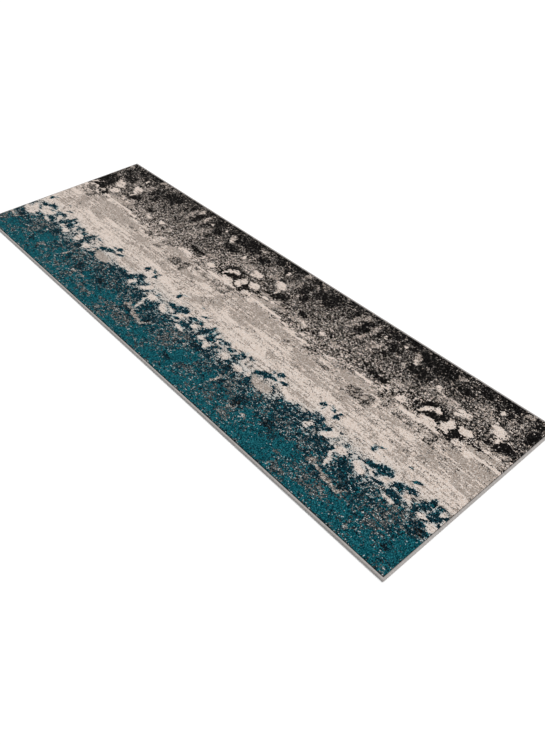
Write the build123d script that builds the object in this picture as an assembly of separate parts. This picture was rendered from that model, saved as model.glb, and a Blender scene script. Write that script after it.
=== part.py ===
from build123d import *
import os

# A power-loomed runner rug, lying flat.  All sizes are in millimetres.
# The origin is on the floor under the middle of the rug.  +X runs along the
# length, +Y across it from the teal long side to the charcoal long side, +Z up.

# Overall size
RUG_LENGTH = 2400.0  # over the overcast ends
RUG_WIDTH = 800.0  # over the overcast long sides
BORDER_WIDTH = 9.0  # bare margin outside the pile, taken up by the overcast edge

# Layers, from the floor up
COAT_THICKNESS = 1.0  # latex back coat
GROUND_THICKNESS = 2.0  # woven warp and weft that hold the tufts
PILE_HEIGHT = 7.5  # cut pile above the ground weave
PILE_EDGE_ROUNDING = 2.0  # the outermost tufts lean outwards

# Overcast edge: yarn wound round a filler cord and through the ground weave
BEAD_RADIUS = 4.2  # outside of the wound yarn
YARN_THICKNESS = 1.4
MARGIN_TUCKED_IN = 1.6  # how far the ground weave reaches into the winding

# Fold line across the middle, where the rug doubles over pile to pile
FOLD_GAP = 0.3

# Heights that follow from the layers
GROUND_BOTTOM = COAT_THICKNESS
GROUND_TOP = GROUND_BOTTOM + GROUND_THICKNESS
PILE_TOP = GROUND_TOP + PILE_HEIGHT

CORD_RADIUS = BEAD_RADIUS - YARN_THICKNESS
HALF_LENGTH = RUG_LENGTH / 2
HALF_WIDTH = RUG_WIDTH / 2
FOLD_EDGE = FOLD_GAP / 2

# Cutting tools reach this far past the faces that they cut
CLEAR = 2.0


def slab(x_end, y_half, z_low, z_high):
    """Flat layer of the foot half, from the fold line to x_end."""
    return Pos(FOLD_EDGE, 0, z_low) * Box(
        x_end - FOLD_EDGE,
        2 * y_half,
        z_high - z_low,
        align=(Align.MIN, Align.CENTER, Align.MIN),
    )


def latex_coat():
    return slab(HALF_LENGTH - BORDER_WIDTH, HALF_WIDTH - BORDER_WIDTH, 0, GROUND_BOTTOM)


def ground_weave():
    margin = BORDER_WIDTH - MARGIN_TUCKED_IN
    return slab(HALF_LENGTH - margin, HALF_WIDTH - margin, GROUND_BOTTOM, GROUND_TOP)


def pile():
    """Cut pile, rounded over along its three free edges and square at the fold."""
    block = slab(HALF_LENGTH - BORDER_WIDTH, HALF_WIDTH - BORDER_WIDTH, GROUND_TOP, PILE_TOP)
    top_edges = block.faces().sort_by(Axis.Z)[-1].edges()
    free_edges = top_edges.sort_by(Axis.X)[1:]
    return fillet(free_edges, PILE_EDGE_ROUNDING)


def cord_section():
    """Round filler cord.  Sections have +X inwards from the rug's outer edge and +Y up."""
    return Pos(BEAD_RADIUS, BEAD_RADIUS) * Circle(CORD_RADIUS)


def overcast_section():
    """Yarn wound round the cord, with a lower leg and a mouth that grips the ground weave."""
    corner = (Align.MIN, Align.MIN)
    mouth = BORDER_WIDTH - MARGIN_TUCKED_IN
    bead = Pos(BEAD_RADIUS, BEAD_RADIUS) * Circle(BEAD_RADIUS)
    lower_leg = Pos(BEAD_RADIUS, 0) * Rectangle(BORDER_WIDTH - BEAD_RADIUS, COAT_THICKNESS, align=corner)
    neck = Pos(BEAD_RADIUS, 0) * Rectangle(mouth - BEAD_RADIUS, GROUND_TOP, align=corner)
    ground_slot = Pos(mouth, GROUND_BOTTOM) * Rectangle(BORDER_WIDTH, GROUND_THICKNESS, align=corner)
    return bead + lower_leg + neck - cord_section() - ground_slot


def mitred(blank, plan_points):
    """Trim an edge piece to its outline in plan, which cuts its corners at 45 degrees."""
    outline = make_face(Polyline(*plan_points, close=True))
    return blank & extrude(Pos(0, 0, -CLEAR) * outline, PILE_TOP + 2 * CLEAR)


def long_side(section):
    """Edge piece of the teal long side, from the fold line to the foot end's corner."""
    start = Plane(origin=(FOLD_EDGE, -HALF_WIDTH, 0), x_dir=(0, 1, 0), z_dir=(1, 0, 0))
    blank = extrude(start * section, HALF_LENGTH - FOLD_EDGE)
    reach = BORDER_WIDTH + CLEAR
    return mitred(
        blank,
        [
            (FOLD_EDGE, -HALF_WIDTH - CLEAR),
            (HALF_LENGTH + CLEAR, -HALF_WIDTH - CLEAR),
            (HALF_LENGTH - reach, -HALF_WIDTH + reach),
            (FOLD_EDGE, -HALF_WIDTH + reach),
        ],
    )


def short_end(section):
    """Edge piece of the foot end, from corner to corner."""
    start = Plane(origin=(HALF_LENGTH, -HALF_WIDTH, 0), x_dir=(-1, 0, 0), z_dir=(0, 1, 0))
    blank = extrude(start * section, RUG_WIDTH)
    reach = BORDER_WIDTH + CLEAR
    return mitred(
        blank,
        [
            (HALF_LENGTH + CLEAR, -HALF_WIDTH - CLEAR),
            (HALF_LENGTH + CLEAR, HALF_WIDTH + CLEAR),
            (HALF_LENGTH - reach, HALF_WIDTH - reach),
            (HALF_LENGTH - reach, -HALF_WIDTH + reach),
        ],
    )


def half_turned(piece):
    """The rug's shape repeats under a half turn about the vertical through its middle."""
    return Rot(0, 0, 180) * piece


def both_halves(name, foot_piece):
    return {
        f"{name}_foot": foot_piece,
        f"{name}_head": half_turned(foot_piece),
    }


def both_sides(name, teal_foot):
    charcoal_foot = mirror(teal_foot, Plane.XZ)
    return {
        f"{name}_teal_side_foot": teal_foot,
        f"{name}_teal_side_head": half_turned(charcoal_foot),
        f"{name}_charcoal_side_foot": charcoal_foot,
        f"{name}_charcoal_side_head": half_turned(teal_foot),
    }


nodes = {}
nodes |= both_halves("pile", pile())
nodes |= both_halves("ground_weave", ground_weave())
nodes |= both_halves("latex_coat", latex_coat())
nodes |= both_sides("filler_cord", long_side(cord_section()))
nodes |= both_halves("end_filler_cord", short_end(cord_section()))
nodes |= both_sides("overcast", long_side(overcast_section()))
nodes |= both_halves("end_overcast", short_end(overcast_section()))

os.makedirs("parts", exist_ok=True)
for name, piece in nodes.items():
    export_step(piece, f"parts/{name}.step")
    print(f"{name}: {piece.volume / 1000:.1f} cm3")
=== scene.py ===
import math

import bpy
import numpy as np
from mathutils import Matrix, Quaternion, Vector


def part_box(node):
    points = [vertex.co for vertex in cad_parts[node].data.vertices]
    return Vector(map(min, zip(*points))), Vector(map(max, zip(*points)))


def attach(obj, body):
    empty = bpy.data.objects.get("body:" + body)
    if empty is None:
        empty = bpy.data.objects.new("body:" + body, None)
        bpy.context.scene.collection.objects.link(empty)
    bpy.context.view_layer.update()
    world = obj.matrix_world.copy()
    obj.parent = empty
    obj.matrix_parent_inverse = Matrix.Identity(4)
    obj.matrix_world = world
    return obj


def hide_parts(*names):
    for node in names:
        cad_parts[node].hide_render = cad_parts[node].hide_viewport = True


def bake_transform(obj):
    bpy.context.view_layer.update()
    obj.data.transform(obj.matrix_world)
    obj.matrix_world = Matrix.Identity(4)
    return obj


# A power-loomed runner rug lying flat.  Everything is in metres, in the frame of
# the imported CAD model: +X along the length, +Y from the teal long side to the
# charcoal one, +Z up out of the pile, and the origin on the floor under the middle.

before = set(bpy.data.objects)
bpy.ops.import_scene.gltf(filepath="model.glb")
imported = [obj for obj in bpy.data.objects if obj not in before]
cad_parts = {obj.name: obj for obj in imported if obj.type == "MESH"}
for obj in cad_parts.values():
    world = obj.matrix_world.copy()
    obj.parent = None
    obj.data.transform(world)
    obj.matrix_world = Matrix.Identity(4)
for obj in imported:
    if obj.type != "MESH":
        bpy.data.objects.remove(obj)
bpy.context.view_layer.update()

# ---------------------------------------------------------------- sizes from the frame
PILE_LOW, PILE_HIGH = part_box("pile_foot")
GROUND_LOW, GROUND_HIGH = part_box("ground_weave_foot")
BEAD_LOW, BEAD_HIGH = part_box("overcast_teal_side_foot")

HALF_LENGTH = BEAD_HIGH.x
HALF_WIDTH = -BEAD_LOW.y
PILE_HALF_LENGTH = PILE_HIGH.x
PILE_HALF_WIDTH = PILE_HIGH.y
PILE_FOOT = PILE_LOW.z
PILE_TOP = PILE_HIGH.z
COAT_TOP = GROUND_LOW.z
BEAD_RADIUS = BEAD_HIGH.z / 2
BORDER_WIDTH = HALF_WIDTH - PILE_HALF_WIDTH
BEAD_MIDDLE = np.array([BORDER_WIDTH / 2, BEAD_RADIUS])

# ---------------------------------------------------------------- pile
TUFT_ALONG = 0.0025
TUFT_ACROSS = 0.0030
TUFT_SCATTER = 0.55  # how far the tufts stand out of line, from 0 to 1
# painted shade: how much darker the colour is painted in the gap round each tuft
TUFT_GAP_SHADE = 0.75
TUFT_BUMP = 0.0012
TUFT_DOME = 2.0  # how high a tuft's dome stands against the unevenness of its fibres
# from tuft to tuft, partly the dye's depth and partly painted shade from the tufts' different lean
DYE_AND_LEAN_SHADE_VARIATION = 0.75
FIBRE_SIZE = 0.0005
FIBRE_SHADE = 0.35

PILE_GRID = 0.0050
PILE_RELIEF = 0.00022
SWELL = (0.018, 0.014)  # length and width of the pile top's gentle rises
SWELL_SHARE = 0.3
TUFT_TOP_SHARE = 0.4
PILE_EDGE_ROUNDING = 0.0022
PILE_EDGE_STEPS = (0, 0.07, 0.28, 0.6, 1.0)  # mesh lines across the rounding

# ---------------------------------------------------------------- underside
BACK_RIB_PITCH = 0.0050
BACK_RIB_DEPTH = 0.0005
BACK_RIB_BEAT = (0.5, 1.0)  # the least and the most that a hollow takes of that depth
BACK_GRID_ACROSS = 0.0105
WEFT_DARK = (0.30, 0.23, 0.15)
WEFT_PALE = (0.62, 0.53, 0.40)
WEFT_GRAIN = (0.0009, 0.02, 1.0)
PILE_SHOWING_THROUGH = 0.75
FINE_RIB_SCALE = 0.5 / TUFT_ACROSS  # about three fine ribs to every two tufts
FINE_RIB_WAVER = 0.4
KNOT_DOME = 2.0
BACK_BUMP = 0.0005

# ---------------------------------------------------------------- overcast edge
YARN_PITCH = 0.0030
YARN_GROOVE = 0.00055
YARN_CREST = 0.8  # a power: under 1 the crests are broad and the grooves narrow
YARN_SLANT = 0.18
YARN_WOBBLE = 0.12
YARN_WOBBLE_LENGTH = 0.02
RINGS_PER_TURN = 4
CORNER_FAN = 0.022
BEAD_ARC = (-15, 270)  # degrees: 0 faces the pile, 90 is the top, 180 the outside, 270 the floor
BEAD_ARC_POINTS = 14
LEG_START = 0.8  # where the flat lower leg begins, as a share of the border's width
OVERCAST_DARK = (0.31, 0.287, 0.272)
OVERCAST_PALE = (0.47, 0.440, 0.422)
TURN_TONE_SHARE = 0.5
FIBRE_TONE_SHARE = 0.6
FIBRES_PER_TURN = 9.0
FIBRE_BUMP = 0.0004
# painted shade and light: how bright the grooves between turns are painted, and how much brighter the
# crests are
GROOVE_LIGHT = 0.70
CREST_LIGHT = 0.35  # added to the groove's

# Each side's half run, where a point of its winding lies, and whether that place is mirrored
SIDES = {
    "teal_side": (HALF_LENGTH, lambda along, inward, up: (along, inward - HALF_WIDTH, up), False),
    "charcoal_side": (HALF_LENGTH, lambda along, inward, up: (along, HALF_WIDTH - inward, up), True),
    "foot_end": (HALF_WIDTH, lambda along, inward, up: (HALF_LENGTH - inward, along, up), False),
    "head_end": (HALF_WIDTH, lambda along, inward, up: (inward - HALF_LENGTH, along, up), True),
}

# ---------------------------------------------------------------- how yarn colours scatter
CLUMP_WEIGHT = 11.0
CLUMP_ROUGHNESS = 0.7
SINGLE_WEIGHT = 1.8
STREAK_WEIGHT = 11.5
STREAK = (0.140, 0.0070)
WEB_WEIGHT = 26.0
WEB_MESH = (0.026, 0.017)
WEB_LINE = 0.06
WEB_ROUGHNESS = 0.6
LEAST_SHARE = 0.0005  # keeps the logarithm finite where a yarn is absent

# How crooked the outlines of the motifs and of the bands are, and the size of their crooks
OUTLINE_WANDER = (0.010, 0.008)
OUTLINE_CROOK = (0.035, 0.025)
BAND_WANDER = 0.012
BAND_CROOK = (0.11, 0.08)

# A motif's paint reaches this far, as a share of its size, and thins out over this rim
STAMP_REACH = 1.25
STAMP_RIM = 0.5
STAMP_STRENGTH = 0.88

# Noise is laid over a strip this wide, a little wider than the rug; each finer octave is fainter
NOISE_WIDTH = 1.2
OCTAVE_FADE = 0.6

# A number for each noise, so that they differ: seeds of the noise laid over the meshes, and then
# the fourth coordinates of the noise in the materials
SEEDS = {
    "outline_along": 11,
    "outline_across": 31,
    "band": 51,
    "swell": 71,
    "tuft_tops": 73,
    "rib_beat": 79,
    "yarn_wobble": 83,
    "overcast_fibres": 1.0,
    "weft": 3.0,
    "turn_tone": 5.0,
    "lean": 20.0,
    "showing": 31.0,
    "pile_fibres": 40.0,
    "streaks": 50.0,
    "web": 60.0,
}
CLUMP_SEED_STEP = 7.3

# ---------------------------------------------------------------- studio
CAMERA_PLACE = (1.7246, -1.2159, 1.6164)
CAMERA_AIM = (0.4124, -0.0949, 0.0)
CAMERA_ROLL = -0.61
CAMERA_LENS = 33.41
CAMERA_SENSOR = 36.0
CAMERA_NEAR = 0.05
CAMERA_FAR = 50.0
FLOOR_REACH = 30.0
FLOOR_COLOUR = (0.93, 0.93, 0.93)
SKY_COLOUR = (1.0, 1.0, 1.0)
SKY_STRENGTH = 0.45
BACKDROP_STRENGTH = 1.0
SUN_STRENGTH = 2.49
SUN_FROM = (0.22, 0.46, 1.0)
SUN_ANGLE = 40.0

# ---------------------------------------------------------------- design of the pile
REPEAT = 1.023
YARNS = {
    "teal": (0.0035, 0.0720, 0.0930),
    "navy": (0.0022, 0.0160, 0.0250),
    "slate": (0.1050, 0.0930, 0.0840),
    "black": (0.0036, 0.0032, 0.0030),
    "taupe": (0.4050, 0.3430, 0.2980),
    "cream": (0.7450, 0.6400, 0.5680),
}
# Length and width of each yarn's clumps
CLUMPS = {
    "teal": (0.022, 0.012),
    "navy": (0.020, 0.011),
    "slate": (0.009, 0.006),
    "black": (0.010, 0.007),
    "taupe": (0.015, 0.007),
    "cream": (0.014, 0.006),
}
YARN_NAMES = list(YARNS)
# The paler yarns, and how they look among teal and navy ones
PALE_YARNS = ("slate", "taupe", "cream")
TEAL_CAST = (0.36, 0.58, 0.70)


def mix(**shares):
    """Share of each yarn among the tufts, in the order of YARN_NAMES."""
    amounts = np.array([shares.get(name, 0.0) for name in YARN_NAMES])
    return amounts / amounts.sum()


PAINTS = {
    "teal": mix(teal=0.82, navy=0.12, slate=0.04, cream=0.02),
    "deep": mix(navy=0.62, teal=0.16, slate=0.10, black=0.06, cream=0.06),
    "ink": mix(navy=0.76, teal=0.20, black=0.04),
    "night": mix(navy=0.60, black=0.30, teal=0.06, slate=0.04),
    "haze": mix(slate=0.32, taupe=0.13, navy=0.28, teal=0.21, cream=0.06),
    "cream": mix(cream=0.80, taupe=0.17, slate=0.03),
    "pale": mix(cream=0.96, taupe=0.04),
    "taupe": mix(taupe=0.84, cream=0.08, slate=0.08),
    "brown": mix(taupe=0.50, slate=0.30, cream=0.14, black=0.06),
    "fleck": mix(slate=0.40, taupe=0.25, black=0.35),
    "coal": mix(black=0.92, slate=0.07, taupe=0.01),
    "ash": mix(slate=0.36, taupe=0.28, black=0.22, cream=0.14),
}

# Paints whose motifs are straight rows along the rug; the others get crooked outlines
STRAIGHT_PAINTS = ("pale",)

# Mixture of yarns at each distance across the rug, changing evenly in between
BANDS = [
    (-0.400, mix(teal=0.58, navy=0.16, slate=0.15, taupe=0.05, cream=0.06)),
    (-0.330, mix(teal=0.52, navy=0.23, slate=0.14, taupe=0.05, cream=0.06)),
    (-0.270, mix(teal=0.30, navy=0.42, slate=0.16, taupe=0.07, cream=0.05)),
    (-0.215, mix(teal=0.20, navy=0.46, slate=0.14, taupe=0.10, cream=0.10)),
    (-0.180, mix(teal=0.09, navy=0.44, slate=0.12, taupe=0.14, cream=0.21)),
    (-0.155, mix(cream=0.36, taupe=0.20, navy=0.32, slate=0.08, teal=0.04)),
    (-0.125, mix(cream=0.56, taupe=0.26, navy=0.12, slate=0.04, teal=0.02)),
    (-0.085, mix(cream=0.62, taupe=0.29, navy=0.03, slate=0.06)),
    (-0.020, mix(cream=0.50, taupe=0.32, slate=0.13, black=0.05)),
    (0.025, mix(cream=0.34, taupe=0.44, slate=0.14, black=0.08)),
    (0.080, mix(cream=0.30, taupe=0.40, slate=0.18, black=0.12)),
    (0.105, mix(cream=0.26, taupe=0.23, slate=0.18, black=0.33)),
    (0.135, mix(cream=0.19, taupe=0.12, slate=0.17, black=0.52)),
    (0.200, mix(cream=0.12, taupe=0.17, slate=0.32, black=0.39)),
    (0.280, mix(cream=0.09, taupe=0.13, slate=0.31, black=0.47)),
    (0.340, mix(cream=0.06, taupe=0.10, slate=0.24, black=0.60)),
    (0.400, mix(cream=0.03, taupe=0.07, slate=0.18, black=0.72)),
]

# Ovals of paint, later ones over earlier ones, which repeat along the rug:
# (along, across, half length, half width) and for some a tilt in degrees
MOTIFS = [
    # teal field: bright patches, haze and near-black hollows
    ("teal", [(1.165, -0.300, 0.034, 0.060), (0.655, -0.345, 0.045, 0.045),
              (0.600, -0.350, 0.035, 0.035), (0.185, -0.265, 0.024, 0.030),
              (0.215, -0.372, 0.050, 0.016), (0.950, -0.318, 0.050, 0.018),
              (0.930, -0.372, 0.060, 0.016), (0.830, -0.370, 0.040, 0.018),
              (1.085, -0.365, 0.050, 0.020), (0.290, -0.285, 0.020, 0.030),
              (0.390, -0.372, 0.050, 0.012), (0.520, -0.290, 0.025, 0.022),
              (0.700, -0.290, 0.060, 0.022), (0.540, -0.365, 0.030, 0.020)]),
    ("haze", [(0.195, -0.315, 0.028, 0.018), (0.325, -0.222, 0.028, 0.010),
              (0.370, -0.330, 0.026, 0.022), (0.455, -0.340, 0.028, 0.022),
              (0.850, -0.330, 0.060, 0.030), (0.800, -0.270, 0.020, 0.020),
              (0.740, -0.365, 0.040, 0.018), (1.060, -0.260, 0.040, 0.050),
              (1.080, -0.210, 0.030, 0.018), (0.620, -0.228, 0.034, 0.010),
              (0.690, -0.318, 0.024, 0.008), (1.020, -0.355, 0.016, 0.014),
              (0.380, -0.245, 0.030, 0.030), (0.300, -0.222, 0.036, 0.014),
              (0.490, -0.215, 0.030, 0.014)]),
    ("brown", [(0.443, -0.303, 0.018, 0.014), (0.460, -0.288, 0.008, 0.008),
               (0.860, -0.278, 0.050, 0.010, -12), (0.925, -0.275, 0.026, 0.008, 45),
               (0.785, -0.268, 0.012, 0.010), (0.312, -0.265, 0.006, 0.026),
               (1.128, -0.233, 0.008, 0.006), (0.512, -0.308, 0.012, 0.004)]),
    ("night", [(0.440, -0.280, 0.026, 0.030), (0.920, -0.258, 0.020, 0.014),
               (0.335, -0.264, 0.014, 0.016), (0.590, -0.264, 0.030, 0.018),
               (1.165, -0.213, 0.026, 0.014), (1.140, -0.322, 0.016, 0.014),
               (0.822, -0.280, 0.020, 0.010), (0.740, -0.176, 0.018, 0.008),
               (0.300, -0.200, 0.020, 0.020)]),
    # where the navy fringe stands higher or lower than its mean line
    ("deep", [(0.285, -0.165, 0.024, 0.026), (0.395, -0.165, 0.018, 0.045),
              (0.600, -0.185, 0.080, 0.038), (0.668, -0.152, 0.048, 0.036, 20),
              (0.770, -0.200, 0.045, 0.028), (0.862, -0.205, 0.032, 0.032),
              (0.185, -0.132, 0.026, 0.018), (0.278, -0.130, 0.020, 0.018),
              (0.297, -0.096, 0.007, 0.018), (0.915, -0.240, 0.040, 0.020),
              (1.112, -0.160, 0.018, 0.040), (0.325, -0.110, 0.016, 0.012),
              (0.235, -0.140, 0.020, 0.012), (0.450, -0.120, 0.040, 0.010)]),
    ("cream", [(0.322, -0.180, 0.022, 0.014), (0.165, -0.145, 0.020, 0.012),
               (0.242, -0.176, 0.026, 0.018), (0.366, -0.170, 0.010, 0.016),
               (0.745, -0.142, 0.032, 0.020), (0.815, -0.165, 0.026, 0.018),
               (0.809, -0.218, 0.007, 0.042, 5), (0.540, -0.128, 0.045, 0.022),
               (0.230, -0.110, 0.020, 0.020)]),
    # cream islands in the fringe
    ("taupe", [(0.440, -0.170, 0.050, 0.022)]),
    ("cream", [(0.672, -0.173, 0.014, 0.017), (0.905, -0.184, 0.020, 0.006),
               (0.940, -0.160, 0.050, 0.005), (0.993, -0.150, 0.012, 0.042),
               (1.070, -0.157, 0.015, 0.012), (1.030, -0.203, 0.022, 0.007),
               (1.140, -0.172, 0.016, 0.013), (1.175, -0.186, 0.022, 0.009),
               (0.885, -0.176, 0.014, 0.010)]),
    # navy islands in the cream
    ("ink", [(0.915, -0.140, 0.022, 0.014), (0.958, -0.136, 0.028, 0.024),
             (1.030, -0.134, 0.018, 0.015), (1.064, -0.127, 0.015, 0.013),
             (1.045, -0.153, 0.015, 0.008), (1.035, -0.181, 0.028, 0.010),
             (1.126, -0.124, 0.013, 0.020), (0.455, -0.085, 0.016, 0.015),
             (0.418, -0.094, 0.012, 0.007), (0.488, -0.110, 0.013, 0.007),
             (0.415, -0.127, 0.016, 0.013), (0.818, -0.145, 0.014, 0.007),
             (0.875, -0.092, 0.011, 0.007), (0.895, -0.076, 0.014, 0.004, 35),
             (0.980, -0.172, 0.020, 0.005), (1.166, -0.138, 0.024, 0.030),
             (0.395, -0.142, 0.016, 0.014), (0.644, -0.070, 0.010, 0.009, 50),
             (0.655, -0.088, 0.005, 0.010), (0.682, -0.066, 0.016, 0.006, -25),
             (0.715, -0.083, 0.009, 0.009), (0.725, -0.143, 0.014, 0.014),
             (0.714, -0.062, 0.007, 0.005), (1.005, -0.066, 0.010, 0.004),
             (1.052, -0.088, 0.012, 0.004), (1.013, -0.002, 0.010, 0.009)]),
    ("cream", [(1.172, -0.124, 0.010, 0.010), (0.470, -0.108, 0.012, 0.006, 30)]),
    # middle band: cream stripes, taupe fields and speckled clusters
    ("taupe", [(0.260, 0.060, 0.110, 0.024), (0.230, 0.030, 0.070, 0.012), (0.620, 0.078, 0.080, 0.018),
               (0.560, -0.020, 0.070, 0.012), (1.120, 0.075, 0.080, 0.026),
               (1.080, 0.128, 0.020, 0.014), (1.140, 0.135, 0.050, 0.014), (0.850, 0.030, 0.060, 0.016),
               (0.700, -0.030, 0.020, 0.020), (0.940, -0.052, 0.030, 0.026),
               (1.010, -0.010, 0.036, 0.026), (0.560, -0.112, 0.060, 0.014),
               (0.440, 0.022, 0.060, 0.020), (1.150, 0.005, 0.060, 0.030),
               (0.660, -0.010, 0.040, 0.022), (0.770, 0.020, 0.040, 0.016),
               (0.990, 0.020, 0.036, 0.020), (0.450, -0.022, 0.036, 0.012)]),
    ("pale", [(0.185, 0.113, 0.040, 0.006), (0.330, 0.087, 0.070, 0.007), (0.280, 0.004, 0.120, 0.007),
              (0.490, 0.066, 0.020, 0.006), (0.640, 0.112, 0.040, 0.008), (1.120, 0.112, 0.070, 0.005),
              (1.130, 0.152, 0.040, 0.004), (0.900, 0.024, 0.040, 0.014), (0.640, -0.045, 0.080, 0.008),
              (0.200, -0.050, 0.060, 0.010), (0.300, 0.036, 0.030, 0.004),
              (1.120, -0.030, 0.050, 0.006), (0.900, -0.110, 0.030, 0.008),
              (0.760, -0.070, 0.030, 0.020), (0.860, 0.098, 0.050, 0.008), (1.082, 0.098, 0.018, 0.010),
              (0.300, -0.070, 0.040, 0.030), (0.245, 0.102, 0.030, 0.006),
              (0.950, 0.104, 0.030, 0.006)]),
    ("brown", [(1.000, -0.020, 0.028, 0.014), (1.004, -0.098, 0.022, 0.010),
               (0.955, -0.030, 0.018, 0.010), (0.842, -0.062, 0.014, 0.010),
               (0.645, -0.016, 0.022, 0.010), (0.725, -0.012, 0.016, 0.006),
               (0.810, 0.022, 0.020, 0.008), (1.000, 0.022, 0.020, 0.010),
               (0.450, -0.030, 0.018, 0.008)]),
    ("fleck", [(0.325, 0.044, 0.018, 0.011), (0.425, 0.073, 0.024, 0.014), (0.368, 0.046, 0.006, 0.006),
               (0.524, 0.047, 0.014, 0.007), (0.670, 0.038, 0.034, 0.022), (0.725, 0.028, 0.018, 0.020),
               (0.783, 0.075, 0.014, 0.008), (0.836, 0.069, 0.018, 0.010), (0.924, 0.060, 0.012, 0.008),
               (0.967, 0.080, 0.013, 0.010), (1.012, 0.082, 0.010, 0.007), (1.000, 0.048, 0.006, 0.006),
               (0.582, 0.042, 0.010, 0.004), (0.332, 0.100, 0.024, 0.008), (0.556, 0.104, 0.018, 0.008),
               (0.726, 0.060, 0.020, 0.012), (0.735, 0.098, 0.022, 0.010), (0.635, 0.014, 0.010, 0.005),
               (0.985, 0.098, 0.016, 0.008), (1.040, 0.088, 0.014, 0.006), (0.980, 0.058, 0.012, 0.010),
               (0.885, 0.066, 0.014, 0.008), (0.965, 0.050, 0.018, 0.010)]),
    # inner edge of the charcoal, lower and higher than its mean line
    ("ash", [(0.480, 0.115, 0.040, 0.018), (0.400, 0.125, 0.030, 0.020), (0.310, 0.118, 0.012, 0.016),
             (0.545, 0.095, 0.030, 0.018), (0.760, 0.105, 0.024, 0.018), (0.680, 0.135, 0.044, 0.014),
             (0.220, 0.160, 0.024, 0.012), (0.280, 0.180, 0.030, 0.010)]),
    ("brown", [(0.275, 0.150, 0.050, 0.016), (0.170, 0.140, 0.030, 0.014),
               (1.130, 0.166, 0.060, 0.008)]),
    # charcoal field: coal patches
    ("coal", [(1.170, 0.300, 0.020, 0.030), (0.465, 0.312, 0.028, 0.044), (0.270, 0.330, 0.028, 0.048),
              (0.190, 0.262, 0.022, 0.026), (0.222, 0.330, 0.024, 0.030), (0.725, 0.345, 0.030, 0.034),
              (0.750, 0.275, 0.046, 0.026), (0.800, 0.340, 0.050, 0.036),
              (0.912, 0.316, 0.024, 0.016, -25), (1.075, 0.373, 0.050, 0.012),
              (1.150, 0.205, 0.034, 0.022), (1.000, 0.384, 0.024, 0.010), (1.085, 0.184, 0.014, 0.012),
              (1.045, 0.385, 0.040, 0.012), (1.130, 0.190, 0.020, 0.026), (0.575, 0.360, 0.030, 0.022),
              (0.345, 0.380, 0.020, 0.010), (0.395, 0.345, 0.020, 0.014), (0.370, 0.300, 0.014, 0.012),
              (0.680, 0.345, 0.034, 0.012), (0.610, 0.300, 0.022, 0.020), (0.670, 0.150, 0.044, 0.016),
              (0.260, 0.190, 0.030, 0.010), (0.600, 0.262, 0.016, 0.018), (0.640, 0.378, 0.040, 0.010),
              (1.030, 0.330, 0.016, 0.014), (0.960, 0.370, 0.016, 0.014), (0.530, 0.378, 0.016, 0.012),
              (0.980, 0.350, 0.026, 0.014), (0.520, 0.305, 0.012, 0.016)]),
    # charcoal field: paler haze
    ("ash", [(0.370, 0.280, 0.016, 0.020), (0.375, 0.200, 0.016, 0.012), (0.550, 0.250, 0.026, 0.030),
             (0.545, 0.190, 0.030, 0.030), (0.750, 0.185, 0.040, 0.022), (1.000, 0.290, 0.040, 0.036),
             (0.850, 0.235, 0.040, 0.030), (0.190, 0.375, 0.020, 0.012), (0.920, 0.225, 0.024, 0.018),
             (0.490, 0.320, 0.008, 0.060), (1.125, 0.310, 0.018, 0.046)]),
    ("brown", [(0.440, 0.355, 0.012, 0.020), (0.415, 0.320, 0.010, 0.040), (0.503, 0.330, 0.008, 0.030),
               (0.425, 0.280, 0.006, 0.026, -25), (0.490, 0.262, 0.010, 0.020, -35),
               (0.700, 0.322, 0.030, 0.013, -42), (0.870, 0.362, 0.014, 0.012),
               (1.040, 0.272, 0.020, 0.012), (0.560, 0.275, 0.010, 0.024), (0.690, 0.262, 0.008, 0.020),
               (0.910, 0.240, 0.030, 0.012, 20), (1.120, 0.375, 0.012, 0.012),
               (0.730, 0.170, 0.020, 0.012), (0.460, 0.155, 0.024, 0.012)]),
    ("cream", [(1.094, 0.252, 0.034, 0.020), (1.104, 0.215, 0.007, 0.020), (0.965, 0.225, 0.026, 0.016),
               (0.848, 0.268, 0.011, 0.011), (0.790, 0.132, 0.026, 0.015), (0.730, 0.138, 0.007, 0.010),
               (0.490, 0.098, 0.014, 0.006), (0.388, 0.170, 0.016, 0.010), (1.045, 0.330, 0.012, 0.010),
               (0.300, 0.155, 0.022, 0.010), (0.634, 0.342, 0.006, 0.006), (0.556, 0.328, 0.007, 0.006),
               (0.650, 0.276, 0.006, 0.006), (0.705, 0.305, 0.014, 0.004, -30)]),
    # black ring and its open centre, with the smaller ring beside it
    ("coal", [(0.898, 0.163, 0.052, 0.042), (0.998, 0.140, 0.028, 0.038)]),
    ("cream", [(0.880, 0.156, 0.028, 0.012, 42), (0.910, 0.178, 0.016, 0.010),
               (0.915, 0.115, 0.034, 0.018), (1.022, 0.172, 0.024, 0.015), (0.966, 0.160, 0.014, 0.022),
               (1.030, 0.120, 0.026, 0.014), (0.972, 0.128, 0.008, 0.010)]),
    ("coal", [(0.932, 0.170, 0.014, 0.026), (0.996, 0.132, 0.012, 0.026),
              (0.966, 0.116, 0.016, 0.005)]),
]

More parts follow.
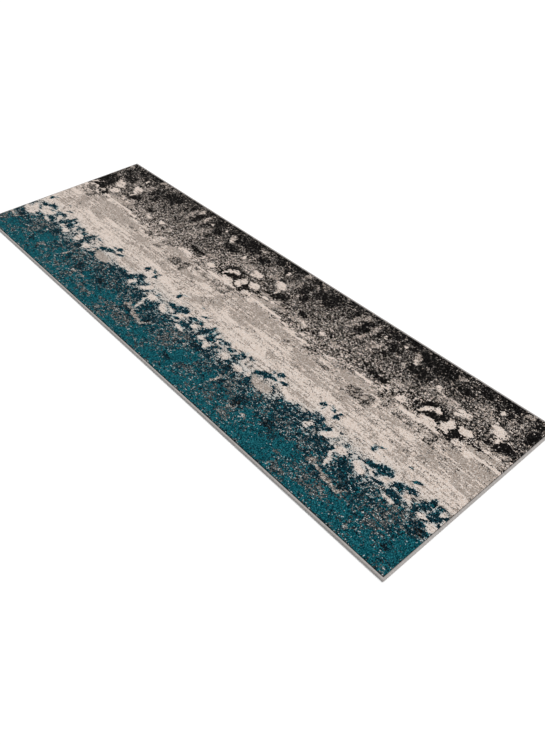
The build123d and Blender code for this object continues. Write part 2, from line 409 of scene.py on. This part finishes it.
# The head half's own motifs, which don't repeat: the charcoal closes over the rings at the end,
# the cream reaches lower, and the teal is hazier
HEAD_MOTIFS = [
    ("haze", [(-0.430, -0.345, 0.060, 0.020), (-0.260, -0.320, 0.050, 0.018)]),
    ("cream", [(-1.135, -0.210, 0.062, 0.028), (-1.072, -0.162, 0.052, 0.027),
               (-0.420, -0.142, 0.026, 0.012)]),
    ("ink", [(-1.120, -0.175, 0.016, 0.007), (-1.050, -0.150, 0.014, 0.007),
             (-1.075, -0.205, 0.020, 0.006)]),
    ("coal", [(-1.150, 0.205, 0.055, 0.050), (-1.110, 0.150, 0.046, 0.020),
              (-1.075, 0.285, 0.046, 0.024)]),
    ("ash", [(-1.010, 0.150, 0.050, 0.022), (-0.995, 0.300, 0.024, 0.016),
             (-0.890, 0.380, 0.024, 0.016)]),
    ("fleck", [(-1.130, 0.100, 0.040, 0.022), (-1.070, 0.070, 0.022, 0.012)]),
    ("cream", [(-1.052, 0.208, 0.022, 0.017), (-0.962, 0.256, 0.024, 0.014),
               (-1.035, 0.165, 0.024, 0.012)]),
]


# ---------------------------------------------------------------- noise and paint
def ease(share):
    """Smooth step from 0 to 1."""
    return share * share * (3 - 2 * share)


def lattice_noise(along, across, cell, seed):
    """Smooth noise from -1 to 1, repeating with the design along the rug."""
    columns = max(2, round(REPEAT / cell[0]))
    rows = int(NOISE_WIDTH / cell[1]) + 3
    table = np.random.default_rng(seed).uniform(-1, 1, (columns, rows))
    u = np.mod(along / REPEAT, 1.0) * columns
    v = (across + NOISE_WIDTH / 2) / cell[1]
    column, row = np.floor(u).astype(int), np.floor(v).astype(int)
    right, up = ease(u - column), ease(v - row)
    here, following = column % columns, (column + 1) % columns
    low = table[here, row] * (1 - right) + table[following, row] * right
    high = table[here, row + 1] * (1 - right) + table[following, row + 1] * right
    return low * (1 - up) + high * up


def fractal(along, across, cell, seed, octaves=3):
    """Noise with finer noise on top, each octave half the size of the one before."""
    total = 0
    for k in range(octaves):
        finer = (cell[0] / 2**k, cell[1] / 2**k)
        total = total + lattice_noise(along, across, finer, seed + k) * OCTAVE_FADE**k
    return total


def stamp(shares, dx, dy, paint, size):
    """One oval of paint with a soft rim; dx and dy are the distances from its middle."""
    half_length, half_width = size[:2]
    tilt = math.radians(size[2] if len(size) > 2 else 0)
    lengthwise = dx * math.cos(tilt) + dy * math.sin(tilt)
    crosswise = -dx * math.sin(tilt) + dy * math.cos(tilt)
    distance = np.hypot(lengthwise / half_length, crosswise / half_width)
    cover = ease(np.clip((STAMP_REACH - distance) / STAMP_RIM, 0, 1))
    cover = (cover * STAMP_STRENGTH)[..., None]
    return shares * (1 - cover) + PAINTS[paint] * cover


def band_shares(height):
    """Yarn shares of the bands at a distance across the rug."""
    heights, mixtures = zip(*BANDS)
    columns = [np.interp(height, heights, column) for column in np.transpose(mixtures)]
    return np.stack(columns, -1)


def design(along, across):
    """Yarn shares at each point of the rug: the bands, then the motifs over them."""
    x = along + OUTLINE_WANDER[0] * fractal(along, across, OUTLINE_CROOK, SEEDS["outline_along"], 4)
    y = across + OUTLINE_WANDER[1] * fractal(along, across, OUTLINE_CROOK, SEEDS["outline_across"], 4)
    shares = band_shares(y + BAND_WANDER * fractal(along, across, BAND_CROOK, SEEDS["band"]))
    for paint, places in MOTIFS:
        u, v = (along, across) if paint in STRAIGHT_PAINTS else (x, y)
        for along_middle, across_middle, *size in places:
            dx = np.mod(u - along_middle + REPEAT / 2, REPEAT) - REPEAT / 2
            shares = stamp(shares, dx, v - across_middle, paint, size)
    for paint, places in HEAD_MOTIFS:
        for along_middle, across_middle, *size in places:
            shares = stamp(shares, x - along_middle, y - across_middle, paint, size)
    return shares


# ---------------------------------------------------------------- mesh helpers
def new_mesh(name, points, faces):
    """Smooth-shaded piece in the scene."""
    mesh = bpy.data.meshes.new(name)
    mesh.from_pydata(points.tolist(), [], faces)
    mesh.polygons.foreach_set("use_smooth", [True] * len(mesh.polygons))
    piece = bpy.data.objects.new(name, mesh)
    bpy.context.scene.collection.objects.link(piece)
    return piece


def store_vector(piece, name, values):
    """One vector per vertex, for the piece's material to read."""
    attribute = piece.data.attributes.new(name, "FLOAT_VECTOR", "POINT")
    attribute.data.foreach_set("vector", np.asarray(values, np.float32).ravel())


def store_design(piece):
    """The flat rug's coordinates, which the pattern keeps when the rug folds, and the yarn shares there."""
    places = np.empty(len(piece.data.vertices) * 3, np.float32)
    piece.data.vertices.foreach_get("co", places)
    places = places.reshape(-1, 3)
    shares = design(places[:, 0], places[:, 1])
    store_vector(piece, "rest_place", places)
    store_vector(piece, "first_yarns", shares[:, :3])
    store_vector(piece, "last_yarns", shares[:, 3:])


def graded(half, step, edge):
    """Coordinates from -half to half: the given distances in from both edges, then about one step apart."""
    inner_half = half - edge[-1]
    count = round(2 * inner_half / step)
    inner = np.linspace(-inner_half, inner_half, count + 1)
    return np.concatenate([edge[:-1] - half, inner, (half - edge[:-1])[::-1]])


def layer(name, xs, ys, relief, plain_z):
    """Closed flat layer: relief[i, j] is the worked face's height and plain_z the other face's."""
    grid_x, grid_y = np.meshgrid(xs, ys, indexing="ij")
    worked = np.stack([grid_x, grid_y, relief], -1).reshape(-1, 3)
    number = np.arange(len(worked)).reshape(relief.shape)
    corners = (number[:-1, :-1], number[1:, :-1], number[1:, 1:], number[:-1, 1:])
    faces = np.stack(corners, -1).reshape(-1, 4).tolist()
    # The plain face has points only round its rim, under those of the worked face
    rim = np.concatenate([number[:, 0], number[-1, 1:], number[-2::-1, -1], number[0, -2:0:-1]]).tolist()
    below = {point: len(worked) + k for k, point in enumerate(rim)}
    faces += [(below[a], below[b], b, a) for a, b in zip(rim, [*rim[1:], rim[0]])]
    rows = [number[0], *number[1:-1, [0, -1]], number[-1]]
    for row, following in zip(rows, rows[1:]):
        faces.append([below[point] for point in (*row, *following[::-1])])
    if relief.mean() < plain_z:
        faces = [face[::-1] for face in faces]
    plain = worked[rim] * (1, 1, 0) + (0, 0, plain_z)
    return new_mesh(name, np.concatenate([worked, plain]), faces)


# ---------------------------------------------------------------- pieces
def make_pile():
    """Cut pile: an uneven top, rounded over where the outermost tufts lean out."""
    edge = PILE_EDGE_ROUNDING * np.array(PILE_EDGE_STEPS)
    xs = graded(PILE_HALF_LENGTH, PILE_GRID, edge)
    ys = graded(PILE_HALF_WIDTH, PILE_GRID, edge)
    grid_x, grid_y = np.meshgrid(xs, ys, indexing="ij")
    inward = np.minimum(PILE_HALF_LENGTH - abs(grid_x), PILE_HALF_WIDTH - abs(grid_y))
    short = np.clip(PILE_EDGE_ROUNDING - inward, 0, PILE_EDGE_ROUNDING)
    shoulder = PILE_EDGE_ROUNDING - np.sqrt(PILE_EDGE_ROUNDING**2 - short**2)
    swell = fractal(grid_x, grid_y, SWELL, SEEDS["swell"])
    tufts = np.random.default_rng(SEEDS["tuft_tops"]).uniform(-1, 1, grid_x.shape)
    relief = PILE_TOP - shoulder - PILE_RELIEF * (1 + SWELL_SHARE * swell + TUFT_TOP_SHARE * tufts)
    pile = layer("pile", xs, ys, relief, PILE_FOOT)
    store_design(pile)
    return pile


def make_back():
    """Ground weave and latex coat: ribs of weft across the underside."""
    columns = 2 * round(GROUND_HIGH.x * 2 / BACK_RIB_PITCH)
    rows = round(GROUND_HIGH.y * 2 / BACK_GRID_ACROSS)
    xs = np.linspace(-GROUND_HIGH.x, GROUND_HIGH.x, columns + 1)
    ys = np.linspace(-GROUND_HIGH.y, GROUND_HIGH.y, rows + 1)
    grid_x, grid_y = np.meshgrid(xs, ys, indexing="ij")
    hollow = (np.arange(columns + 1) % 2 == 1) * BACK_RIB_DEPTH
    beat = np.random.default_rng(SEEDS["rib_beat"]).uniform(*BACK_RIB_BEAT, grid_x.shape)
    margin = (abs(grid_x) > PILE_HALF_LENGTH) | (abs(grid_y) > PILE_HALF_WIDTH)
    back = layer("woven_back", xs, ys, np.where(margin, COAT_TOP, hollow[:, None] * beat), PILE_FOOT)
    store_design(back)
    return back


def bead_section():
    """Outline of a winding: distance inwards from the rug's outer edge, and height."""
    turns = np.radians(np.linspace(*BEAD_ARC, BEAD_ARC_POINTS))
    arc = BEAD_MIDDLE * (1 + np.stack([np.cos(turns), np.sin(turns)], -1))
    lower_leg = [(LEG_START * BORDER_WIDTH, 0), (BORDER_WIDTH, 0), (BORDER_WIDTH, COAT_TOP)]
    return np.concatenate([arc, lower_leg])


def tube_faces(rings, sides):
    """Walls of a tube whose rings follow one another, and its two end faces."""
    faces = [
        (k * sides + p, k * sides + q, (k + 1) * sides + q, (k + 1) * sides + p)
        for k in range(rings - 1)
        for p, q in zip(range(sides), [*range(1, sides), 0])
    ]
    faces.append(tuple(range(sides))[::-1])
    faces.append(tuple(range((rings - 1) * sides, rings * sides)))
    return faces


def make_winding(name, half_run, place, mirrored):
    """Yarn wound round one edge.  place(along, inward, up) gives a point in the rug's frame."""
    section = bead_section()
    turns = round(2 * half_run / YARN_PITCH)
    along = np.linspace(-half_run, half_run, turns * RINGS_PER_TURN + 1)[:, None]
    girth = np.concatenate([[0], np.cumsum(np.hypot(*np.diff(section, axis=0).T))])
    wobble = fractal(along, 0 * along, (YARN_WOBBLE_LENGTH, YARN_WOBBLE_LENGTH), SEEDS["yarn_wobble"])
    phase = along / YARN_PITCH + YARN_SLANT * girth / BEAD_RADIUS + YARN_WOBBLE * wobble
    groove = YARN_GROOVE * (1 - abs(np.cos(math.pi * phase)) ** YARN_CREST)
    groove[:, BEAD_ARC_POINTS:] = 0
    inward, up = (section - groove[..., None] * (section / BEAD_MIDDLE - 1)).transpose(2, 0, 1)
    # Towards the corners the turns fan out to the mitre
    fan = ease(np.clip((abs(along) - half_run + CORNER_FAN) / CORNER_FAN, 0, 1))
    mitred = along - np.sign(along) * inward * fan
    points = np.stack(place(mitred, inward, up), -1).reshape(-1, 3)
    faces = tube_faces(*mitred.shape)
    if mirrored:
        faces = [face[::-1] for face in faces]
    winding = new_mesh(name, points, faces)
    store_vector(winding, "yarn_place", np.stack([phase, 0 * phase + girth / BEAD_RADIUS, 0 * phase], -1))
    return winding


def make_windings():
    """The overcast edge, one winding to a side."""
    return {side: make_winding("overcast_" + side, *how) for side, how in SIDES.items()}


# ---------------------------------------------------------------- material helpers
class NodeTree:
    """Short forms for building one material; inputs are sockets or plain values."""

    def __init__(self, name):
        self.material = bpy.data.materials.new(name)
        self.material.use_nodes = True
        self.tree = self.material.node_tree
        self.shader = self.tree.nodes["Principled BSDF"]

    def put(self, socket, value):
        if isinstance(value, bpy.types.NodeSocket):
            self.tree.links.new(value, socket)
        else:
            socket.default_value = value

    def add(self, kind, inputs, **settings):
        node = self.tree.nodes.new(kind)
        for key, value in settings.items():
            setattr(node, key, value)
        for key, value in inputs.items():
            self.put(node.inputs[key], value)
        return node

    def attribute(self, name):
        return self.add("ShaderNodeAttribute", {}, attribute_name=name).outputs["Vector"]

    def math(self, operation, a, b=0.0):
        return self.add("ShaderNodeMath", {0: a, 1: b}, operation=operation).outputs[0]

    def vector(self, operation, a, b=(0.0, 0.0, 0.0)):
        return self.add("ShaderNodeVectorMath", {0: a, 1: b}, operation=operation).outputs[0]

    def join(self, *parts):
        return self.add("ShaderNodeCombineXYZ", dict(enumerate(parts))).outputs[0]

    def split(self, vector):
        return self.add("ShaderNodeSeparateXYZ", {0: vector}).outputs

    def noise(self, vector, number, detail=1.0, roughness=0.5):
        inputs = {"Vector": vector, "W": number, "Scale": 1.0, "Detail": detail, "Roughness": roughness}
        return self.add("ShaderNodeTexNoise", inputs, noise_dimensions="4D").outputs[0]

    def speckle(self, vector, number):
        inputs = {"Vector": vector, "W": number}
        return self.add("ShaderNodeTexWhiteNoise", inputs, noise_dimensions="4D").outputs[0]

    def blend(self, share, a, b):
        inputs = {0: share, 6: a, 7: b}
        return self.add("ShaderNodeMix", inputs, data_type="RGBA").outputs[2]

    def scaled(self, base, amount):
        return self.vector("MULTIPLY", base, self.join(amount, amount, amount))

    def bump(self, height, distance, strength):
        inputs = {"Height": height, "Distance": distance, "Strength": strength}
        self.put(self.shader.inputs["Normal"], self.add("ShaderNodeBump", inputs).outputs[0])

    def finish(self, base, **values):
        """Set the shader's sockets; an underscore in a keyword stands for a space in the socket's name."""
        self.put(self.shader.inputs["Base Color"], base)
        for key, value in values.items():
            self.put(self.shader.inputs[key.replace("_", " ")], value)
        return self.material


def colour(rgb):
    """Colour with full alpha, as the sockets take it."""
    return (*map(float, rgb), 1.0)


# ---------------------------------------------------------------- choice of yarn
def streaks(nodes, cell, share):
    """Where cream is common it gathers into rows along the rug."""
    noise = nodes.noise(nodes.vector("DIVIDE", cell, (*STREAK, 1.0)), SEEDS["streaks"])
    swing = nodes.math("MULTIPLY", nodes.math("SUBTRACT", noise, 0.5), STREAK_WEIGHT)
    return nodes.math("MULTIPLY", swing, share)


def web_of_flecks(nodes, cell, dark):
    """Where the dark yarns are common the paler ones keep to a web of thin crooked lines."""
    place = nodes.vector("DIVIDE", cell, (*WEB_MESH, 1.0))
    noise = nodes.noise(place, SEEDS["web"], detail=3.0, roughness=WEB_ROUGHNESS)
    away = nodes.math("ABSOLUTE", nodes.math("SUBTRACT", noise, 0.5))
    near = nodes.math("MULTIPLY", nodes.math("SUBTRACT", WEB_LINE, away), WEB_WEIGHT)
    return nodes.math("MULTIPLY", near, dark)


def yarn_score(nodes, cell, name, share):
    """A yarn's chance in a cell: its share there, a swing by clumps and a swing by single tufts."""
    number = YARN_NAMES.index(name)
    likely = nodes.math("LOGARITHM", nodes.math("ADD", share, LEAST_SHARE), math.e)
    place = nodes.vector("DIVIDE", cell, (*CLUMPS[name], 1.0))
    noise = nodes.noise(place, CLUMP_SEED_STEP * number, detail=3.0, roughness=CLUMP_ROUGHNESS)
    clump = nodes.math("MULTIPLY", noise, CLUMP_WEIGHT)
    single = nodes.math("MULTIPLY", nodes.speckle(cell, number), SINGLE_WEIGHT)
    return nodes.math("ADD", nodes.math("ADD", likely, clump), single)


def pick_yarn(nodes, cell):
    """The jacquard's choice: in each cell the yarn with the highest score wins."""
    sockets = (*nodes.split(nodes.attribute("first_yarns")), *nodes.split(nodes.attribute("last_yarns")))
    shares = dict(zip(YARN_NAMES, sockets))
    blue = nodes.math("ADD", shares["teal"], shares["navy"])
    web = web_of_flecks(nodes, cell, nodes.math("ADD", blue, shares["black"]))
    chosen, best = None, None
    for name, rgb in YARNS.items():
        score = yarn_score(nodes, cell, name, shares[name])
        tone = colour(rgb)
        if name in PALE_YARNS:
            tone = nodes.blend(blue, tone, colour(np.multiply(rgb, TEAL_CAST)))
            score = nodes.math("ADD", score, web)
        if name == "cream":
            pale = nodes.math("ADD", shares["taupe"], shares["cream"])
            score = nodes.math("ADD", score, streaks(nodes, cell, pale))
        if chosen is None:
            chosen, best = tone, score
            continue
        wins = nodes.math("GREATER_THAN", score, best)
        chosen = nodes.blend(wins, chosen, tone)
        best = nodes.math("MAXIMUM", best, score)
    return chosen


def tuft_at(nodes, place):
    """Middle of the tuft that a place belongs to, and how far out from that middle the place is."""
    pitch = (TUFT_ALONG, TUFT_ACROSS, 1.0)
    inputs = {"Vector": nodes.vector("DIVIDE", place, pitch), "Scale": 1.0, "Randomness": TUFT_SCATTER}
    tufts = nodes.add("ShaderNodeTexVoronoi", inputs, voronoi_dimensions="2D")
    return nodes.vector("MULTIPLY", tufts.outputs["Position"], pitch), tufts.outputs["Distance"]


# ---------------------------------------------------------------- materials
def pile_material():
    """Cut yarn ends, each a small dome of one colour with painted shade darkening the gap round it."""
    nodes = NodeTree("cut_pile")
    place = nodes.attribute("rest_place")
    tuft, reach = tuft_at(nodes, place)
    yarn = pick_yarn(nodes, tuft)
    # each tuft's colour is made deeper or paler at random: partly dye, partly painted shade from its lean;
    # the lean also sets the bump
    lean = nodes.speckle(tuft, SEEDS["lean"])
    tone_power = nodes.math("ADD", nodes.math("MULTIPLY", lean, DYE_AND_LEAN_SHADE_VARIATION), 1.0 - DYE_AND_LEAN_SHADE_VARIATION / 2)
    dyed_and_lean_shaded = nodes.add("ShaderNodeGamma", {0: yarn, 1: tone_power}).outputs[0]
    fibre_place = nodes.vector("DIVIDE", place, (FIBRE_SIZE, FIBRE_SIZE, 4 * FIBRE_SIZE))
    fibres = nodes.noise(fibre_place, SEEDS["pile_fibres"])
    dome = nodes.math("MULTIPLY", reach, reach)
    lit = nodes.math("ADD", nodes.math("MULTIPLY", fibres, FIBRE_SHADE), 1.0 - FIBRE_SHADE / 2)
    # painted shade: the colour darkens from each tuft's middle towards the gap round it
    shade = nodes.math("SUBTRACT", lit, nodes.math("MULTIPLY", dome, TUFT_GAP_SHADE))
    uneven = nodes.math("ADD", nodes.math("MULTIPLY", lean, 0.5), nodes.math("MULTIPLY", fibres, 0.5))
    height = nodes.math("SUBTRACT", uneven, nodes.math("MULTIPLY", dome, TUFT_DOME))
    nodes.bump(height, distance=TUFT_BUMP, strength=0.6)
    return nodes.finish(nodes.scaled(dyed_and_lean_shaded, shade), Roughness=0.9, Specular_IOR_Level=0.04)


def back_material():
    """Jute-coloured weft ribs with the pile's colours showing through, under thin latex."""
    nodes = NodeTree("woven_back")
    place = nodes.attribute("rest_place")
    cell, reach = tuft_at(nodes, place)
    yarn = pick_yarn(nodes, cell)
    grain = nodes.noise(nodes.vector("DIVIDE", place, WEFT_GRAIN), SEEDS["weft"], detail=3.0)
    weft = nodes.blend(grain, colour(WEFT_DARK), colour(WEFT_PALE))
    showing = nodes.math("MULTIPLY", nodes.speckle(cell, SEEDS["showing"]), PILE_SHOWING_THROUGH)
    mixed = nodes.blend(showing, weft, yarn)
    wave = {"Vector": place, "Scale": FINE_RIB_SCALE, "Distortion": FINE_RIB_WAVER}
    ribs = nodes.add("ShaderNodeTexWave", wave, bands_direction="Y").outputs["Fac"]
    knots = nodes.math("SUBTRACT", ribs, nodes.math("MULTIPLY", reach, KNOT_DOME))
    nodes.bump(knots, distance=BACK_BUMP, strength=0.5)
    return nodes.finish(mixed, Roughness=0.72, Sheen_Weight=0.05)


def winding_material():
    """Bulked overcast yarn: a slight change of tone from turn to turn, fine fibres, and painted shade in
    the grooves between turns with painted light on the crests.
    """
    nodes = NodeTree("overcast_yarn")
    turn, girth, _ = nodes.split(nodes.attribute("yarn_place"))
    whole_turn = nodes.join(nodes.math("FLOOR", nodes.math("ADD", turn, 0.5)))
    fibre_place = nodes.join(nodes.math("MULTIPLY", turn, FIBRES_PER_TURN), girth)
    fibres = nodes.noise(fibre_place, SEEDS["overcast_fibres"], detail=3.0)
    turn_tone = nodes.math("MULTIPLY", nodes.speckle(whole_turn, SEEDS["turn_tone"]), TURN_TONE_SHARE)
    tone = nodes.math("ADD", turn_tone, nodes.math("MULTIPLY", fibres, FIBRE_TONE_SHARE))
    yarn = nodes.blend(tone, colour(OVERCAST_DARK), colour(OVERCAST_PALE))
    # painted shade in the grooves between turns and painted light on their crests
    crest = nodes.math("ABSOLUTE", nodes.math("COSINE", nodes.math("MULTIPLY", turn, math.pi)))
    shade = nodes.math("ADD", nodes.math("MULTIPLY", crest, CREST_LIGHT), GROOVE_LIGHT)
    nodes.bump(fibres, distance=FIBRE_BUMP, strength=0.6)
    lit = nodes.scaled(yarn, shade)
    return nodes.finish(lit, Roughness=0.85, Specular_IOR_Level=0.2, Sheen_Weight=0.1)


# ---------------------------------------------------------------- studio
def make_floor():
    """Pale floor that reaches far past the picture."""
    nodes = NodeTree("studio_floor")
    mesh = bpy.data.meshes.new("studio_floor")
    r = FLOOR_REACH
    mesh.from_pydata([(-r, -r, 0), (r, -r, 0), (r, r, 0), (-r, r, 0)], [], [(0, 1, 2, 3)])
    floor = bpy.data.objects.new("studio_floor", mesh)
    bpy.context.scene.collection.objects.link(floor)
    mesh.materials.append(nodes.finish(colour(FLOOR_COLOUR), Roughness=0.9))


def make_sun():
    """A very wide, soft sun: it lights the whole floor alike."""
    light = bpy.data.lights.new("soft_key", "SUN")
    light.energy = SUN_STRENGTH
    light.angle = math.radians(SUN_ANGLE)
    lamp = bpy.data.objects.new("soft_key", light)
    lamp.location = SUN_FROM
    lamp.rotation_euler = (-Vector(SUN_FROM)).to_track_quat("-Z", "Y").to_euler()
    bpy.context.scene.collection.objects.link(lamp)


def make_sky():
    """Even soft light from all round, in front of a white backdrop."""
    world = bpy.data.worlds.new("studio")
    world.use_nodes = True
    tree = world.node_tree
    sky = tree.nodes["Background"]
    backdrop = tree.nodes.new("ShaderNodeBackground")
    for background, strength in ((sky, SKY_STRENGTH), (backdrop, BACKDROP_STRENGTH)):
        background.inputs["Color"].default_value = colour(SKY_COLOUR)
        background.inputs["Strength"].default_value = strength
    rays = tree.nodes.new("ShaderNodeLightPath")
    choice = tree.nodes.new("ShaderNodeMixShader")
    tree.links.new(rays.outputs["Is Camera Ray"], choice.inputs[0])
    tree.links.new(sky.outputs[0], choice.inputs[1])
    tree.links.new(backdrop.outputs[0], choice.inputs[2])
    tree.links.new(choice.outputs[0], tree.nodes["World Output"].inputs["Surface"])
    bpy.context.scene.world = world


def make_studio():
    """Floor, sky and sun, shown without a film look."""
    make_floor()
    make_sky()
    make_sun()
    bpy.context.scene.view_settings.view_transform = "Standard"


def make_camera():
    """Camera above the foot end's teal corner, looking along the rug."""
    camera = bpy.data.cameras.new("camera")
    camera.sensor_width = CAMERA_SENSOR
    camera.lens = CAMERA_LENS
    camera.clip_start = CAMERA_NEAR
    camera.clip_end = CAMERA_FAR
    view = bpy.data.objects.new("camera", camera)
    view.location = CAMERA_PLACE
    aim = (Vector(CAMERA_AIM) - Vector(CAMERA_PLACE)).to_track_quat("-Z", "Y")
    view.rotation_mode = "QUATERNION"
    view.rotation_quaternion = aim @ Quaternion((0, 0, 1), math.radians(CAMERA_ROLL))
    bpy.context.scene.collection.objects.link(view)
    bpy.context.scene.camera = view


# ---------------------------------------------------------------- assembly
def cross_fold(piece):
    """Bakes the piece's transform into its mesh."""
    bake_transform(piece)


def both(stem):
    """Names of a CAD piece's foot and head nodes."""
    return f"{stem}_foot", f"{stem}_head"


def dress(piece, material, slot, *nodes):
    """Give a piece its material and hide the CAD nodes that it stands for; slot is not used."""
    piece.data.materials.append(material)
    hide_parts(*nodes)


def build_rug():
    """Make and dress every piece of the rug."""
    pile = make_pile()
    back = make_back()
    windings = make_windings()
    dress(pile, pile_material(), "pile_yarn", *both("pile"))
    dress(back, back_material(), "ground_yarn", *both("ground_weave"), *both("latex_coat"))
    yarn = winding_material()
    for side in ("teal_side", "charcoal_side"):
        nodes = (*both("overcast_" + side), *both("filler_cord_" + side))
        dress(windings[side], yarn, "overcast_yarn", *nodes)
        cross_fold(windings[side])
    for end in ("foot", "head"):
        winding = windings[end + "_end"]
        dress(winding, yarn, "overcast_yarn", "end_overcast_" + end, "end_filler_cord_" + end)
        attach(winding, end + "_half")
    cross_fold(pile)
    cross_fold(back)


build_rug()
make_studio()
make_camera()
